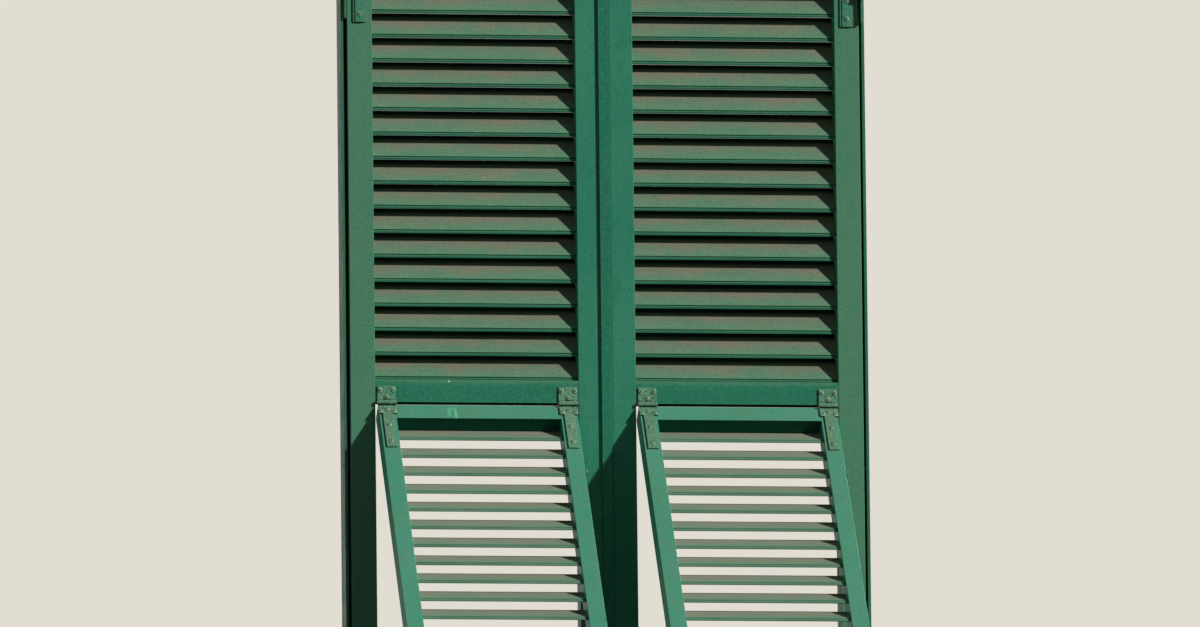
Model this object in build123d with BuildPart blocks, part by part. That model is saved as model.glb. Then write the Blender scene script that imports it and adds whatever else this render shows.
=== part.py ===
# Pair of louvred window shutters with projecting lower flaps, closed in their frame.
# Millimetres, X to the right seen from outside, Y into the room, Z up.
# The origin is the middle of the frame sill's underside.
import os
from math import asin, atan2, cos, degrees, radians, sin, sqrt

from build123d import *

os.makedirs("parts", exist_ok=True)

# Opening in the wall and the frame that lines it
opening_width = 1077.0
opening_height = 1844.0
frame_depth = 60.0
frame_leg = 6.0  # outer leg, beside the leaves
stop_reach = 26.0  # how far the stop stands inwards from the outer leg
stop_depth = 18.0
frame_wall = 2.0
gasket_thick = 2.7
gasket_width = 8.0
gasket_clear = 0.3  # between the gasket and the leaves' backs
fixing_radius = 4.2
fixing_inset = 262.0  # outer fixings from the opening's top and bottom
fixings = 4

# Leaves
side_gap = 6.0  # between leaf and frame leg, all round
meeting_gap = 6.0
leaf_depth = 45.0
stile_width = 51.0
top_rail_height = 51.0
mid_rail_height = 46.0
bottom_rail_height = 80.0
rail_step = 0.6  # rail face behind the stile face
profile_wall = 2.0
edge_radius = 1.2
cap_thick = 2.0
cap_plug = 14.0
seat_gap = 0.15  # around plugs and slat ends

# Cover bar over the meeting gap, on the right leaf
bar_body = 10.0
bar_cover = 20.0
bar_proud = 5.0
bar_clear = 0.3

# Slats
slat_pitch = 50.0
slat_count = 18
slat_angle = 58.0
slat_thick = 5.4
slat_wall = 1.3
slat_tenon = 4.0  # length of slat end inside each stile
nose_height = 7.6
nose_bead = 3.9
groove_depth = 1.4
nose_back = 9.0  # nose behind the leaf's face
heel_clear = 0.75  # slat's back edge in front of the stile's rear wall
slat_clear = 2.2  # top slat below the rail over it
slat_seat = 0.3  # lowest slat above the rail under it

# Flaps, hung from the middle rail
flap_angle = 37.5
flap_top_gap = 3.0
flap_bottom_gap = 4.0
flap_side_gap = 5.0
flap_back = 2.4  # shut flap's back in front of the leaf's back
flap_stile = 35.0
flap_rail = 37.0
flap_nose_back = 6.0

# T-hinges of the flaps
knuckle_radius = 5.0
knuckle_seat = 0.2  # between a knuckle and the rail behind it
plate_thick = 3.0
hinge_width = 37.5
plate_height = 34.0
tee_height = 28.0
strap_width = 20.6
strap_length = 122.0
knuckles = 3
knuckle_gap = 0.3
pin_radius = 2.5
pin_clear = 0.06
pin_head = 1.2
pin_head_radius = 3.8

# Strap hinges of the leaves, and the pintles on the frame
pivot_inset = 138.0  # from a leaf's top or bottom edge
pivot_out = 12.0  # axis in front of the leaf's face
pivot_beside = 3.0  # axis outside the leaf's edge
strap_plate_width = 27.0
strap_plate_length = 178.0
strap_plate_rib = 18.0
strap_rib_thick = 1.6
eye_radius = 9.0
eye_height = 40.0
lug_thick = 6.0
pintle_radius = 6.0
pintle_clear = 0.08
pintle_tip = 3.0
ear_height = 12.0
bracket_thick = 3.0
bracket_height = 62.0
bracket_clear = 8.0  # from the bracket's end to the frame's stop
swing_clear = 0.3

# Stay in the right-hand gap of each flap
stay_length = 180.0
stay_inset = 7.0  # pivot behind the flap's face
slot_back = 12.7  # foot of the slot's line in front of the leaf's back
stay_thick = 2.0
stay_half_width = 8.0
stud_radius = 4.0
stud_head_radius = 6.0
stay_play = 0.15  # on each side of the stay, along its rivet
stud_head = 1.0
stud_clear = 0.5  # between the rivet's head and the leaf's stile
slot_extra = 4.0

# Rod lock on the back of the right leaf, drawn at rest with its hooks open
lock_out = 8.0  # rod's axis behind the leaf's back
lock_turn = 60.0  # from open to locked
rod_radius = 5.0
rod_clear = 0.15
hook_reach = 18.0
hook_thick = 8.0
hook_arm = 3.6
hook_span = 64.0  # degrees that the hook's finger covers
hook_past_pin = 16.0  # degrees from the keep's pin to the finger's tip when locked
keep_out = 10.0  # keep's pin from the rod's axis
keep_play = 1.2  # around the keep's pin
keep_pin_radius = 2.4
keep_pin_over = 1.0
keep_width = 34.0
keep_thick = 2.5
keep_clear = 2.5  # between the hook and the keep's plate
guides = 4
guide_inset = 120.0  # outer guides from the rod's ends
guide_height = 18.0
guide_width = 36.0
guide_plate = 2.5
handle_height = 900.0
handle_length = 95.0
handle_neck = 3.6
handle_swell = 7.2
sleeve_clear = 0.4  # between the handle's sleeve and the leaf's back
sleeve_height = 24.0
rest_clear = 0.4  # between the locked handle and the ledge that carries it
rest_width = 22.0
rest_ledge = 3.0
rest_height = 26.0

# Sizes that follow from those above
frame_front = -frame_depth / 2
frame_back = frame_depth / 2
stop_front = frame_back - stop_depth
stop_inner = frame_leg + stop_reach
frame_middle = opening_height / 2
leaf_span = opening_width - 2 * (frame_leg + side_gap)
leaf_bottom = frame_leg + side_gap
leaf_height = opening_height - 2 * leaf_bottom
leaf_top = leaf_bottom + leaf_height
leaf_width = (leaf_span - meeting_gap - bar_body) / 2
half_span = leaf_span / 2
leaf_face = stop_front - gasket_thick - gasket_clear - leaf_depth
rail_face = leaf_face + rail_step
flap_depth = leaf_depth - rail_step - flap_back
slope_along = Vector(cos(radians(slat_angle)), sin(radians(slat_angle)))
slope_back = Vector(slope_along.Y, -slope_along.X)


def slat_rise(nose, depth):
    """Height of a slat that reaches from its nose to just before the rear wall."""
    reach = depth - profile_wall - heel_clear - nose
    return nose_height + (reach - slat_thick * slope_back.X) * slope_along.Y / slope_along.X


slat_height = slat_rise(nose_back, leaf_depth)
flap_slat_height = slat_rise(flap_nose_back, flap_depth)
upper_opening = (slat_count - 1) * slat_pitch + slat_seat + slat_height + slat_clear
mid_rail_top = leaf_top - top_rail_height - upper_opening
mid_rail_bottom = mid_rail_top - mid_rail_height
bottom_rail_top = leaf_bottom + bottom_rail_height
flap_length = mid_rail_bottom - bottom_rail_top - flap_top_gap - flap_bottom_gap
flap_opening = flap_length - 2 * flap_rail
flap_free = flap_opening - slat_seat - flap_slat_height - slat_clear
flap_slat_count = round(flap_free / slat_pitch) + 1
flap_slat_pitch = flap_free / (flap_slat_count - 1)
hinge_axis_out = knuckle_radius + knuckle_seat
hinge_y = rail_face - hinge_axis_out
hinge_z = mid_rail_bottom - flap_top_gap / 2
pivot_x = half_span + pivot_beside
pivot_y = leaf_face - pivot_out
bracket_reach = stop_front - bracket_clear - pivot_y
stud_collar = flap_side_gap - stay_thick - 2 * stay_play - stud_head - stud_clear
lean = radians(flap_angle)


# Reference planes: x is inwards through the leaf or flap, y is up it, and the normal is +X.
leaf_base = Plane(origin=(0, leaf_face, 0), x_dir=(0, 1, 0), z_dir=(1, 0, 0))
flap_base = Plane(
    origin=(0, hinge_y, hinge_z), x_dir=(0, cos(lean), -sin(lean)), z_dir=(1, 0, 0)
)
flap_front = hinge_axis_out
flap_top = -flap_top_gap / 2
flap_bottom = flap_top - flap_length


def side_plane(base, x):
    """Section plane across the leaf or flap, at x along its width."""
    return base.offset(x)


def level_plane(base, height):
    """Plane square to the stiles: local x along the width, local y inwards."""
    return Plane(
        origin=base.from_local_coords(Vector(0, height, 0)),
        x_dir=(1, 0, 0),
        z_dir=base.y_dir,
    )


def front_plane(base, inwards):
    """Plane parallel to the outside face: local x along the width, local y up."""
    return Plane(
        origin=base.from_local_coords(Vector(inwards, 0, 0)),
        x_dir=(1, 0, 0),
        z_dir=-base.x_dir,
    )


def save(piece, label):
    """Label a finished piece and write its file."""
    piece.label = label
    export_step(piece, f"parts/{label}.step")


def slat_outline(nose, height):
    """Corners of a slat without its groove: toe, foot, heel, tip and crown, nose at the given depth."""
    crown = Vector(nose, nose_height)
    tip = crown + slope_along * ((height - nose_height) / slope_along.Y)
    heel = tip + slope_back * slat_thick
    foot = heel - slope_along * (heel.Y / slope_along.Y)
    return [Vector(nose, 0), foot, heel, tip, crown]


def slat_spots(first, pitch, count):
    """Where each slat of a row has its toe, in the leaf's or flap's side plane."""
    return [(0, first + i * pitch) for i in range(count)]


def slat_row(base, x_from, x_to, nose, height, spots):
    """A row of hollow slats, their ends reaching into both stiles."""
    toe, foot, heel, tip, crown = slat_outline(nose, height)
    near_skin = slope_back * slat_wall
    far_skin = slope_back * (slat_thick - slat_wall)
    chamber = [
        crown + near_skin + slope_along * groove_depth,
        tip + near_skin - slope_along * slat_wall,
        tip + far_skin - slope_along * slat_wall,
        crown + far_skin + slope_along * slat_thick,
    ]
    with BuildSketch(mode=Mode.PRIVATE) as section:
        with BuildLine():
            Polyline(
                toe,
                foot,
                heel,
                tip,
                crown,
                (nose + groove_depth, nose_height - groove_depth),
                (nose + groove_depth, nose_bead + groove_depth / 2),
                (nose, nose_bead),
                close=True,
            )
        make_face()
        with BuildLine():
            Polyline(*chamber, close=True)
        make_face(mode=Mode.SUBTRACT)
    with BuildPart() as row:
        with BuildSketch(side_plane(base, x_from - slat_tenon)):
            with Locations(*spots):
                add(section.sketch)
        extrude(amount=x_to - x_from + 2 * slat_tenon)
    return row.part


def stile(base, x_from, width, front, depth, z_from, z_to, mortises=None, slot=None):
    """A hollow upright with mortises for the slats in the wall that faces them.

    mortises is (side, nose, height, spots), where side is +1 with the slats on the right.
    slot is (side, start, end) with the stay slot's centres in the base's own plane.
    """
    mid_x, mid_y = x_from + width / 2, front + depth / 2
    with BuildPart() as upright:
        with BuildSketch(level_plane(base, z_from)):
            with Locations((mid_x, mid_y)):
                RectangleRounded(width, depth, edge_radius)
                Rectangle(
                    width - 2 * profile_wall, depth - 2 * profile_wall, mode=Mode.SUBTRACT
                )
        extrude(amount=z_to - z_from)
        if mortises:
            side, nose, height, spots = mortises
            wall_x = x_from + width - profile_wall if side > 0 else x_from
            with BuildSketch(side_plane(base, wall_x)):
                slat_end = Polygon(*slat_outline(nose, height), align=None, mode=Mode.PRIVATE)
                hole = offset(slat_end, seat_gap, kind=Kind.INTERSECTION, mode=Mode.PRIVATE)
                with Locations(*spots):
                    add(hole)
            extrude(amount=profile_wall, mode=Mode.SUBTRACT)
        if slot:
            side, start, end = slot
            wall_x = x_from + width - profile_wall if side > 0 else x_from
            run = end - start
            with BuildSketch(side_plane(base, wall_x)):
                with Locations((start + end) / 2):
                    SlotCenterToCenter(
                        run.length,
                        2 * (stud_radius + pin_clear),
                        rotation=degrees(atan2(run.Y, run.X)),
                    )
            extrude(amount=profile_wall, mode=Mode.SUBTRACT)
    return upright.part


def rail(base, x_from, x_to, front, depth, z_from, z_to):
    """A hollow rail butted between two stiles."""
    with BuildPart() as member:
        with BuildSketch(side_plane(base, x_from)):
            with Locations((front + depth / 2, (z_from + z_to) / 2)):
                Rectangle(depth, z_to - z_from)
                Rectangle(
                    depth - 2 * profile_wall,
                    z_to - z_from - 2 * profile_wall,
                    mode=Mode.SUBTRACT,
                )
        extrude(amount=x_to - x_from)
    return member.part


def end_caps(base, spans, front, depth, z_ends):
    """Plastic caps that close the open ends of the stiles."""
    with BuildPart() as caps:
        for x_from, x_to in spans:
            middle = ((x_from + x_to) / 2, front + depth / 2)
            width = x_to - x_from
            for z_end, up in z_ends:
                with BuildSketch(level_plane(base, z_end)):
                    with Locations(middle):
                        Rectangle(width - edge_radius, depth - edge_radius)
                extrude(amount=up * cap_thick)
                with BuildSketch(level_plane(base, z_end)):
                    with Locations(middle):
                        Rectangle(
                            width - 2 * (profile_wall + seat_gap),
                            depth - 2 * (profile_wall + seat_gap),
                        )
                extrude(amount=-up * cap_plug)
    return caps.part


# Frame: an outer leg with a hollow stop behind the leaves, cut into four mitred lengths
def across_plane(y):
    """Plane parallel to the outside faces: local x to the right, local y up."""
    return Plane.XZ.offset(-y)


def frame_ring(y, outer, inner):
    """A rectangular ring between two insets from the opening's edge."""
    with BuildSketch(across_plane(y)) as ring:
        with Locations((0, frame_middle)):
            Rectangle(opening_width - 2 * outer, opening_height - 2 * outer)
            Rectangle(
                opening_width - 2 * inner, opening_height - 2 * inner, mode=Mode.SUBTRACT
            )
    return ring.sketch


def frame_member(outline):
    """The part of the whole frame that lies inside one mitred outline."""
    with BuildPart() as member:
        extrude(frame_ring(frame_back, 0, frame_leg), amount=frame_depth)
        extrude(frame_ring(frame_back, frame_leg, stop_inner), amount=stop_depth)
        extrude(
            frame_ring(frame_back - frame_wall, frame_leg, stop_inner - frame_wall),
            amount=stop_depth - 2 * frame_wall,
            mode=Mode.SUBTRACT,
        )
        with BuildSketch(across_plane(frame_back)):
            with BuildLine():
                Polyline(*outline, close=True)
            make_face()
        extrude(amount=frame_depth, mode=Mode.INTERSECT)
        fixing_y = (frame_front + stop_front) / 2
        fixing_pitch = (opening_height - 2 * fixing_inset) / (fixings - 1)
        with BuildSketch(Plane.YZ.offset(-opening_width / 2)):
            with Locations((fixing_y, frame_middle)):
                with GridLocations(0, fixing_pitch, 1, fixings):
                    Circle(fixing_radius)
        extrude(amount=opening_width, mode=Mode.SUBTRACT)
    return member.part


half_width = opening_width / 2
near, far = stop_inner, opening_height - stop_inner
inside = half_width - stop_inner
save(
    frame_member([(-half_width, 0), (half_width, 0), (inside, near), (-inside, near)]),
    "frame_sill",
)
save(
    frame_member(
        [
            (-half_width, opening_height),
            (-inside, far),
            (inside, far),
            (half_width, opening_height),
        ]
    ),
    "frame_head",
)
for side, sign in (("left", -1), ("right", 1)):
    save(
        frame_member(
            [
                (sign * half_width, 0),
                (sign * inside, near),
                (sign * inside, far),
                (sign * half_width, opening_height),
            ]
        ),
        f"frame_{side}_jamb",
    )

# Rubber gasket on the stop, all round
gasket_inset = stop_inner - 2 * gasket_width
with BuildPart() as frame_gasket:
    extrude(
        frame_ring(stop_front, gasket_inset, gasket_inset + gasket_width),
        amount=gasket_thick,
    )
save(frame_gasket.part, "frame_gasket")


# Leaves
slats_first = mid_rail_top + slat_seat
leaf_slats = (nose_back, slat_height, slat_spots(slats_first, slat_pitch, slat_count))
pivot_heights = (leaf_bottom + pivot_inset, leaf_top - pivot_inset)
hinge_base = Plane(origin=(0, hinge_y, hinge_z), x_dir=(0, 1, 0), z_dir=(1, 0, 0))
knuckle_length = (hinge_width - (knuckles - 1) * knuckle_gap) / knuckles
knuckle_clear = knuckle_radius + 2 * knuckle_gap

stay_x = hinge_axis_out + stay_inset
stay_pivot = Vector(stay_x, -sqrt(stay_length**2 - stay_x**2))
axis_in_leaf = Vector(hinge_y - leaf_face, hinge_z)
stay_line = asin((leaf_depth - slot_back - axis_in_leaf.X) / (2 * stay_length))
stay_spread = stay_line - asin(stay_x / stay_length)
stay_ray = Vector(sin(stay_line), -cos(stay_line))
slot_shut = stay_ray * (2 * stay_length * cos(stay_spread) + slot_extra)
slot_open = stay_ray * (2 * stay_length * cos(stay_spread + lean))


def knuckle_starts(x, first):
    """Where every other knuckle of a hinge begins along the axis."""
    step = knuckle_length + knuckle_gap
    return [x - hinge_width / 2 + i * step for i in range(first, knuckles, 2)]


def hinge_plates(base, xs):
    """The fixed halves of the flap's hinges, on the middle rail."""
    with BuildPart() as plates:
        for x in xs:
            with BuildSketch(front_plane(base, hinge_axis_out)):
                with Locations((x, plate_height / 2)):
                    Rectangle(hinge_width, plate_height)
                with Locations((x, 0)):
                    Rectangle(
                        knuckle_length + 2 * knuckle_gap, 2 * knuckle_clear, mode=Mode.SUBTRACT
                    )
            extrude(amount=plate_thick)
            for start in knuckle_starts(x, 0):
                with BuildSketch(side_plane(base, start)):
                    Circle(knuckle_radius)
                extrude(amount=knuckle_length)
            with BuildSketch(side_plane(base, x - hinge_width / 2)):
                Circle(pin_radius + pin_clear)
            extrude(amount=hinge_width, mode=Mode.SUBTRACT)
    return plates.part


def tee_straps(base, xs):
    """The moving halves of the flap's hinges, with a wide head and a narrow strap."""
    with BuildPart() as straps:
        for x in xs:
            with BuildSketch(front_plane(base, hinge_axis_out)):
                with Locations((x, -(knuckle_clear + tee_height) / 2)):
                    Rectangle(hinge_width, tee_height - knuckle_clear)
                with Locations((x, -knuckle_clear / 2)):
                    Rectangle(knuckle_length, knuckle_clear)
                with Locations((x, -(tee_height + strap_length) / 2)):
                    Rectangle(strap_width, strap_length - tee_height)
            extrude(amount=plate_thick)
            for start in knuckle_starts(x, 1):
                with BuildSketch(side_plane(base, start)):
                    Circle(knuckle_radius)
                extrude(amount=knuckle_length)
            with BuildSketch(side_plane(base, x - hinge_width / 2)):
                Circle(pin_radius + pin_clear)
            extrude(amount=hinge_width, mode=Mode.SUBTRACT)
    return straps.part


def hinge_pins(base, xs):
    """Pins with a small head at each end, one to a hinge."""
    with BuildPart() as pins:
        for x in xs:
            start = x - hinge_width / 2 - knuckle_gap
            with BuildSketch(side_plane(base, start)):
                Circle(pin_radius)
            extrude(amount=hinge_width + 2 * knuckle_gap)
            for end, way in ((start, -1), (x + hinge_width / 2 + knuckle_gap, 1)):
                with BuildSketch(side_plane(base, end)):
                    Circle(pin_head_radius)
                extrude(amount=way * pin_head)
    return pins.part


def strap_hinges(sign):
    """Long plates on the outer stile, each with an eye that hangs on a pintle."""
    plate_x = sign * (half_span - stile_width / 2)
    lug_back = leaf_face - plate_thick
    with BuildPart() as straps:
        for height in pivot_heights:
            with BuildSketch(across_plane(leaf_face)):
                with Locations((plate_x, height)):
                    Rectangle(strap_plate_width, strap_plate_length)
            extrude(amount=plate_thick)
            with BuildSketch(across_plane(lug_back)):
                with Locations((plate_x, height)):
                    Rectangle(strap_plate_rib, strap_plate_length)
            extrude(amount=strap_rib_thick)
            with BuildSketch(Plane.XY.offset(height - eye_height / 2)):
                with Locations((sign * pivot_x, pivot_y)):
                    Circle(eye_radius)
                with Locations(
                    ((plate_x + sign * pivot_x) / 2, lug_back - lug_thick / 2)
                ):
                    Rectangle(abs(sign * pivot_x - plate_x), lug_thick)
                with Locations((sign * pivot_x, pivot_y)):
                    Circle(pintle_radius + pintle_clear, mode=Mode.SUBTRACT)
            extrude(amount=eye_height)
    return straps.part


def frame_pintles(sign):
    """Brackets on the jamb's inner side, each with an upright pin for a leaf's eye."""
    jamb_x = sign * (half_width - frame_leg)
    with BuildPart() as pintles:
        for height in pivot_heights:
            ear_top = height - eye_height / 2 - swing_clear
            with BuildSketch(Plane.YZ.offset(jamb_x)):
                with Locations((pivot_y + bracket_reach / 2, ear_top - bracket_height / 2)):
                    Rectangle(bracket_reach, bracket_height)
            extrude(amount=-sign * bracket_thick)
            with BuildSketch(Plane.XY.offset(ear_top)):
                with Locations((sign * pivot_x, pivot_y)):
                    Circle(eye_radius)
            extrude(amount=-ear_height)
            with BuildSketch(Plane.XY.offset(ear_top - ear_height)):
                with Locations((sign * pivot_x, pivot_y)):
                    Circle(pintle_radius)
            extrude(amount=ear_height + eye_height + swing_clear + pintle_tip)
            chamfer(pintles.edges().group_by(Axis.Z)[-1], pintle_tip / 2)
    return pintles.part


def stay_stud(x):
    """Shoulder rivet in the flap's stile, on which the stay turns."""
    grip = stay_thick + 2 * stay_play
    with BuildPart() as stud:
        layers = (
            (0, stud_collar, stud_head_radius),
            (stud_collar, grip, stud_radius),
            (stud_collar + grip, stud_head, stud_head_radius),
        )
        for start, length, radius in layers:
            with BuildSketch(side_plane(flap_base, x + start)):
                with Locations(stay_pivot):
                    Circle(radius)
            extrude(amount=length)
    return stud.part


def stay_arm(x):
    """Flat stay from the stud on the flap to a stud that slides in the stile's slot."""
    pivot = flap_base.from_local_coords(Vector(stay_pivot.X, stay_pivot.Y, 0))
    slider = hinge_base.from_local_coords(Vector(slot_open.X, slot_open.Y, 0))
    arm_x = x + stud_collar + stay_play
    across = Plane(
        origin=(arm_x, pivot.Y, pivot.Z),
        x_dir=Vector(0, slider.Y - pivot.Y, slider.Z - pivot.Z),
        z_dir=(1, 0, 0),
    )
    inside_wall = x + flap_side_gap + profile_wall + swing_clear
    with BuildPart() as arm:
        with BuildSketch(across):
            with Locations((stay_length / 2, 0)):
                SlotCenterToCenter(stay_length, 2 * stay_half_width)
            Circle(stud_radius + pin_clear, mode=Mode.SUBTRACT)
        extrude(amount=stay_thick)
        with BuildSketch(across):
            with Locations((stay_length, 0)):
                Circle(stud_radius)
        extrude(amount=inside_wall - arm_x)
        with BuildSketch(across.offset(inside_wall - arm_x)):
            with Locations((stay_length, 0)):
                Circle(stud_head_radius)
        extrude(amount=stud_head)
    return arm.part


for side, sign in (("left", -1), ("right", 1)):
    save(frame_pintles(sign), f"frame_{side}_pintles")
    save(strap_hinges(sign), f"{side}_strap_hinges")

    outer_edge = -half_span if sign < 0 else half_span - leaf_width
    opening = (outer_edge + stile_width, outer_edge + leaf_width - stile_width)
    stile_names = ("outer", "inner") if sign < 0 else ("inner", "outer")
    stile_starts = (outer_edge, opening[1])
    slot = (-1, axis_in_leaf + slot_open, axis_in_leaf + slot_shut)
    for name, start, towards in zip(stile_names, stile_starts, (1, -1)):
        save(
            stile(
                leaf_base,
                start,
                stile_width,
                0,
                leaf_depth,
                leaf_bottom + cap_thick,
                leaf_top - cap_thick,
                mortises=(towards, *leaf_slats),
                slot=slot if towards < 0 else None,
            ),
            f"{side}_{name}_stile",
        )
    save(
        end_caps(
            leaf_base,
            [(start, start + stile_width) for start in stile_starts],
            0,
            leaf_depth,
            ((leaf_bottom + cap_thick, -1), (leaf_top - cap_thick, 1)),
        ),
        f"{side}_stile_caps",
    )
    rails = {
        "top": (leaf_top - top_rail_height, leaf_top),
        "middle": (mid_rail_bottom, mid_rail_top),
        "bottom": (leaf_bottom, bottom_rail_top),
    }
    for name, (low, high) in rails.items():
        save(
            rail(leaf_base, *opening, rail_step, leaf_depth - rail_step, low, high),
            f"{side}_{name}_rail",
        )
    save(slat_row(leaf_base, *opening, *leaf_slats), f"{side}_slats")

    flap_from, flap_to = opening[0] + flap_side_gap, opening[1] - flap_side_gap
    hinge_xs = (flap_from + flap_stile / 2, flap_to - flap_stile / 2)
    save(hinge_plates(hinge_base, hinge_xs), f"{side}_hinge_plates")
    save(hinge_pins(hinge_base, hinge_xs), f"{side}_hinge_pins")

    flap_inside = (flap_from + flap_stile, flap_to - flap_stile)
    flap_spots = slat_spots(
        flap_bottom + flap_rail + slat_seat, flap_slat_pitch, flap_slat_count
    )
    flap_slats = (flap_front + flap_nose_back, flap_slat_height, flap_spots)
    for name, start, towards in (
        ("left", flap_from, 1),
        ("right", flap_inside[1], -1),
    ):
        save(
            stile(
                flap_base,
                start,
                flap_stile,
                flap_front,
                flap_depth,
                flap_bottom + cap_thick,
                flap_top,
                mortises=(towards, *flap_slats),
            ),
            f"{side}_flap_{name}_stile",
        )
    flap_rails = {
        "top": (flap_top - flap_rail, flap_top),
        "bottom": (flap_bottom, flap_bottom + flap_rail),
    }
    for name, (low, high) in flap_rails.items():
        save(
            rail(flap_base, *flap_inside, flap_front, flap_depth, low, high),
            f"{side}_flap_{name}_rail",
        )
    save(slat_row(flap_base, *flap_inside, *flap_slats), f"{side}_flap_slats")
    save(tee_straps(flap_base, hinge_xs), f"{side}_flap_straps")
    save(stay_stud(flap_to), f"{side}_stay_stud")
    save(stay_arm(flap_to), f"{side}_stay_arm")

# Rod lock: the hooks turn behind pins in the frame's stop, at the top and the bottom
leaf_back = leaf_face + leaf_depth
bar_edge = half_span - leaf_width
rod_x = bar_edge + stile_width / 2
rod_y = leaf_back + lock_out
rod_start = stop_inner + keep_thick + keep_clear
rod_end = opening_height - rod_start
hook_throat = keep_out + keep_pin_radius + keep_play
hook_boss = keep_out - keep_pin_radius - keep_play
finger_end = 90 + hook_past_pin - lock_turn
finger_start = finger_end - hook_span
arm_angle = finger_start + degrees(asin(hook_arm / 2 / hook_throat))
handle_angle = 180 - lock_turn
sleeve_radius = lock_out - sleeve_clear


def lock_plane(height, angle=0):
    """Level plane on the rod's axis, with x turned by the angle."""
    return Plane(
        origin=(rod_x, rod_y, height),
        x_dir=(cos(radians(angle)), sin(radians(angle)), 0),
        z_dir=(0, 0, 1),
    )


with BuildPart() as lock_rod:
    with BuildSketch(lock_plane(rod_start + hook_thick)):
        Circle(rod_radius)
    extrude(amount=rod_end - rod_start - 2 * hook_thick)
save(lock_rod.part, "right_lock_rod")

with BuildPart() as lock_hooks:
    for height in (rod_start, rod_end - hook_thick):
        with BuildSketch(lock_plane(height)):
            Circle(hook_boss)
            Rectangle(
                (hook_throat + hook_reach) / 2,
                hook_arm,
                rotation=arm_angle,
                align=(Align.MIN, Align.CENTER),
            )
            with BuildLine():
                outer_arc = CenterArc((0, 0), hook_reach, finger_start, hook_span)
                inner_arc = CenterArc((0, 0), hook_throat, finger_start, hook_span)
                Line(outer_arc @ 0, inner_arc @ 0)
                Line(outer_arc @ 1, inner_arc @ 1)
            make_face()
        extrude(amount=hook_thick)
save(lock_hooks.part, "right_lock_hooks")

with BuildPart() as lock_handle:
    with BuildSketch(lock_plane(handle_height - sleeve_height / 2)):
        Circle(sleeve_radius)
    extrude(amount=sleeve_height)
    lever = lock_plane(handle_height, handle_angle)
    with BuildSketch(Plane(origin=lever.origin, x_dir=lever.x_dir, z_dir=-lever.y_dir)):
        with BuildLine():
            tip_arc = CenterArc((handle_length - handle_swell, 0), handle_swell, 0, 90)
            Polyline(tip_arc @ 1, (rod_radius, handle_neck), (rod_radius, 0), tip_arc @ 0)
        make_face()
    revolve(axis=Axis(lever.origin, lever.x_dir))
    with BuildSketch(lock_plane(handle_height - sleeve_height / 2)):
        Circle(rod_radius + pin_clear)
    extrude(amount=sleeve_height, mode=Mode.SUBTRACT)
save(lock_handle.part, "right_lock_handle")

with BuildPart() as lock_guides:
    guide_pitch = (rod_end - rod_start - 2 * guide_inset) / (guides - 1)
    for i in range(guides):
        with BuildSketch(lock_plane(rod_start + guide_inset + i * guide_pitch)):
            Circle(lock_out)
            with Locations((0, guide_plate / 2 - lock_out)):
                Rectangle(guide_width, guide_plate)
            Circle(rod_radius + rod_clear, mode=Mode.SUBTRACT)
        extrude(amount=guide_height / 2, both=True)
save(lock_guides.part, "right_lock_guides")

with BuildPart() as lock_keeps:
    keep_pin_length = keep_thick + keep_clear + hook_thick + keep_pin_over
    for height, way in ((stop_inner, 1), (opening_height - stop_inner, -1)):
        with BuildSketch(Plane.XY.offset(height)):
            with Locations((rod_x, (stop_front + frame_back) / 2)):
                Rectangle(keep_width, stop_depth)
        extrude(amount=way * keep_thick)
        with BuildSketch(lock_plane(height)):
            with Locations((0, keep_out)):
                Circle(keep_pin_radius)
        extrude(amount=way * keep_pin_length)
save(lock_keeps.part, "frame_lock_keeps")

# Ledge on the left leaf, under the locked handle
rest_x = -bar_edge - stile_width / 2
ledge_top = handle_height - handle_swell - rest_clear
with BuildPart() as handle_rest:
    with BuildSketch(across_plane(leaf_back + guide_plate)):
        with Locations((rest_x, ledge_top - rest_height / 2)):
            Rectangle(rest_width, rest_height)
    extrude(amount=guide_plate)
    with BuildSketch(Plane.XY.offset(ledge_top - rest_ledge)):
        with Locations((rest_x, leaf_back)):
            Rectangle(rest_width, lock_out + handle_swell, align=(Align.CENTER, Align.MIN))
    extrude(amount=rest_ledge)
save(handle_rest.part, "left_handle_rest")

# Cover bar on the right leaf's meeting edge
with BuildPart() as cover_bar:
    with BuildSketch(level_plane(leaf_base, leaf_bottom)):
        with Locations((bar_edge - bar_body, 0)):
            Rectangle(bar_body, leaf_depth, align=(Align.MIN, Align.MIN))
        with Locations((bar_edge - bar_body / 2, leaf_depth / 2)):
            Rectangle(
                bar_body - 2 * profile_wall, leaf_depth - 2 * profile_wall, mode=Mode.SUBTRACT
            )
        with Locations((bar_edge - bar_cover, -bar_proud)):
            Rectangle(bar_cover, bar_proud - bar_clear, align=(Align.MIN, Align.MIN))
        with Locations((bar_edge - bar_body, -bar_clear)):
            Rectangle(bar_body, bar_clear, align=(Align.MIN, Align.MIN))
    extrude(amount=leaf_height)
save(cover_bar.part, "right_cover_bar")
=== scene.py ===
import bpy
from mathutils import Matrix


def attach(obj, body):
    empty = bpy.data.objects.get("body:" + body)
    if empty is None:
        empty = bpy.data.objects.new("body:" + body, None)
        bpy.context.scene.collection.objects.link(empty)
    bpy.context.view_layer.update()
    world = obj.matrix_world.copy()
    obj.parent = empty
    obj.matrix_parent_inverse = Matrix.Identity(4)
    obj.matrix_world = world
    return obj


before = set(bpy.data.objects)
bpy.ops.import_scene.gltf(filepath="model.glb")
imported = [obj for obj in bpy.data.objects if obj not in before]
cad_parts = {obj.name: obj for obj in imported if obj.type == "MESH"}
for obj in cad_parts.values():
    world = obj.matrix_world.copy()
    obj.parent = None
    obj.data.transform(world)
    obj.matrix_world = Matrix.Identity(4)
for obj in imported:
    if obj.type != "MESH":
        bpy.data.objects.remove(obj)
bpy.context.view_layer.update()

from math import cos, pi, radians, sin

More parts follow.
